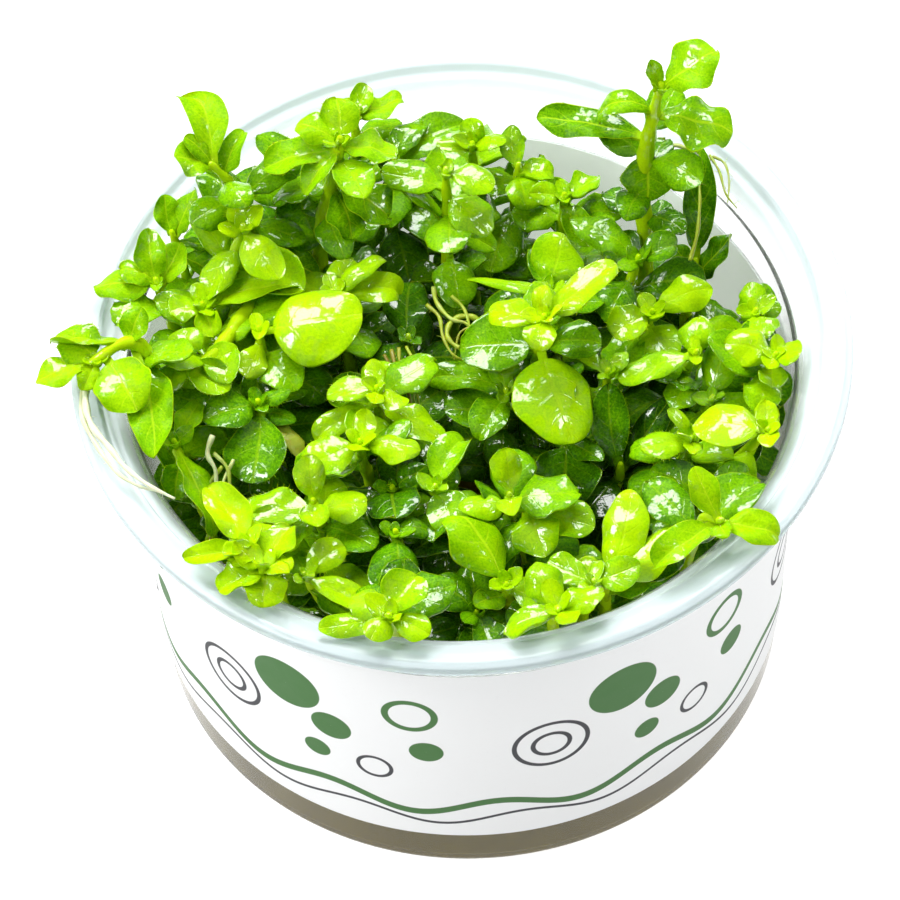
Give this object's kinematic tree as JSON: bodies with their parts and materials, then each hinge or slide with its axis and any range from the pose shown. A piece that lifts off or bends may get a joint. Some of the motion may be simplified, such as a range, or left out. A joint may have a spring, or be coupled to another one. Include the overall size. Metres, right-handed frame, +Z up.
{
  "type": "plant tissue culture cup",
  "caption": "Open clear plastic cup with a stepped rim and wrap-around label, holding gel and a dense stand of small round-leaved water plant shoots.",
  "frame": {"origin": "centre of the cup's flat underside", "axes": "+Z up along the cup's axis, +Y towards the back with the tall shoots, +X to the right as pictured"},
  "size_m": [0.1093, 0.105, 0.0857],
  "materials": {
    "clear_plastic": "clear, polished moulding",
    "white_label": "satin white film",
    "culture_gel": "wet, translucent, olive brown",
    "dark_leaf": "wet and glossy",
    "middle_leaf": "wet and glossy",
    "bright_leaf": "waxy, wet in places",
    "lime_leaf": "waxy, wet in places"
  },
  "bodies": {
    "root": {"cup": "clear_plastic", "label": "white_label", "gel": "culture_gel", "shoot_back_right_tall": "bright_leaf", "shoot_back_right_twisted": "middle_leaf", "shoot_right_back_wall": "bright_leaf", "shoot_right_wall": "lime_leaf", "shoot_right_front_wall": "bright_leaf", "shoot_right_overhanging": "lime_leaf", "shoot_right_bright": "lime_leaf", "shoot_right_broad": "middle_leaf", "shoot_right_boat": "bright_leaf", "shoot_right_crinkled": "lime_leaf", "shoot_dark_upright": "dark_leaf", "shoot_right_round": "lime_leaf", "shoot_right_low": "middle_leaf", "shoot_lime_folded": "lime_leaf", "shoot_front_right_small": "bright_leaf", "shoot_front_veined": "bright_leaf", "shoot_middle_upright": "lime_leaf", "shoot_front_curled": "bright_leaf", "shoot_front_mixed": "bright_leaf", "shoot_front_dark_round": "middle_leaf", "shoot_middle_hairy": "dark_leaf", "shoot_front_left_rosette": "lime_leaf", "shoot_middle_bright_round": "lime_leaf", "shoot_middle_lime_pair": "lime_leaf", "shoot_middle_dark_pair": "dark_leaf", "shoot_middle_arched": "lime_leaf", "shoot_left_big_round": "lime_leaf", "shoot_middle_dark_glossy": "dark_leaf", "shoot_middle_curved": "middle_leaf", "shoot_bright_cross": "lime_leaf", "shoot_middle_right_thin": "bright_leaf", "shoot_back_middle_light": "bright_leaf", "shoot_back_right_long": "middle_leaf", "shoot_back_right_small": "bright_leaf", "shoot_back_upright": "bright_leaf", "shoot_back_glossy": "bright_leaf", "shoot_back_middle_glossy": "bright_leaf", "shoot_back_fat": "middle_leaf", "shoot_back_left_high": "bright_leaf", "shoot_top_centre_tall": "bright_leaf", "shoot_back_left_round": "middle_leaf", "shoot_upper_left_tall": "middle_leaf", "shoot_left_back_pair": "middle_leaf", "shoot_left_lime_drooping": "lime_leaf", "shoot_left_low": "bright_leaf", "shoot_left_round": "middle_leaf", "shoot_far_left_overhanging": "bright_leaf", "shoot_left_leaning": "bright_leaf", "shoot_left_dark_round": "dark_leaf", "shoot_left_dark_big": "dark_leaf", "shoot_left_wall_big": "middle_leaf", "shoot_front_left_overhanging": "lime_leaf", "shoot_front_left_second": "lime_leaf", "shoot_front_left_pointed": "bright_leaf", "shoot_front_rosette": "lime_leaf", "shoot_front_dark_low": "dark_leaf", "shoot_front_lime_low": "lime_leaf"}
  },
  "joints": []
}
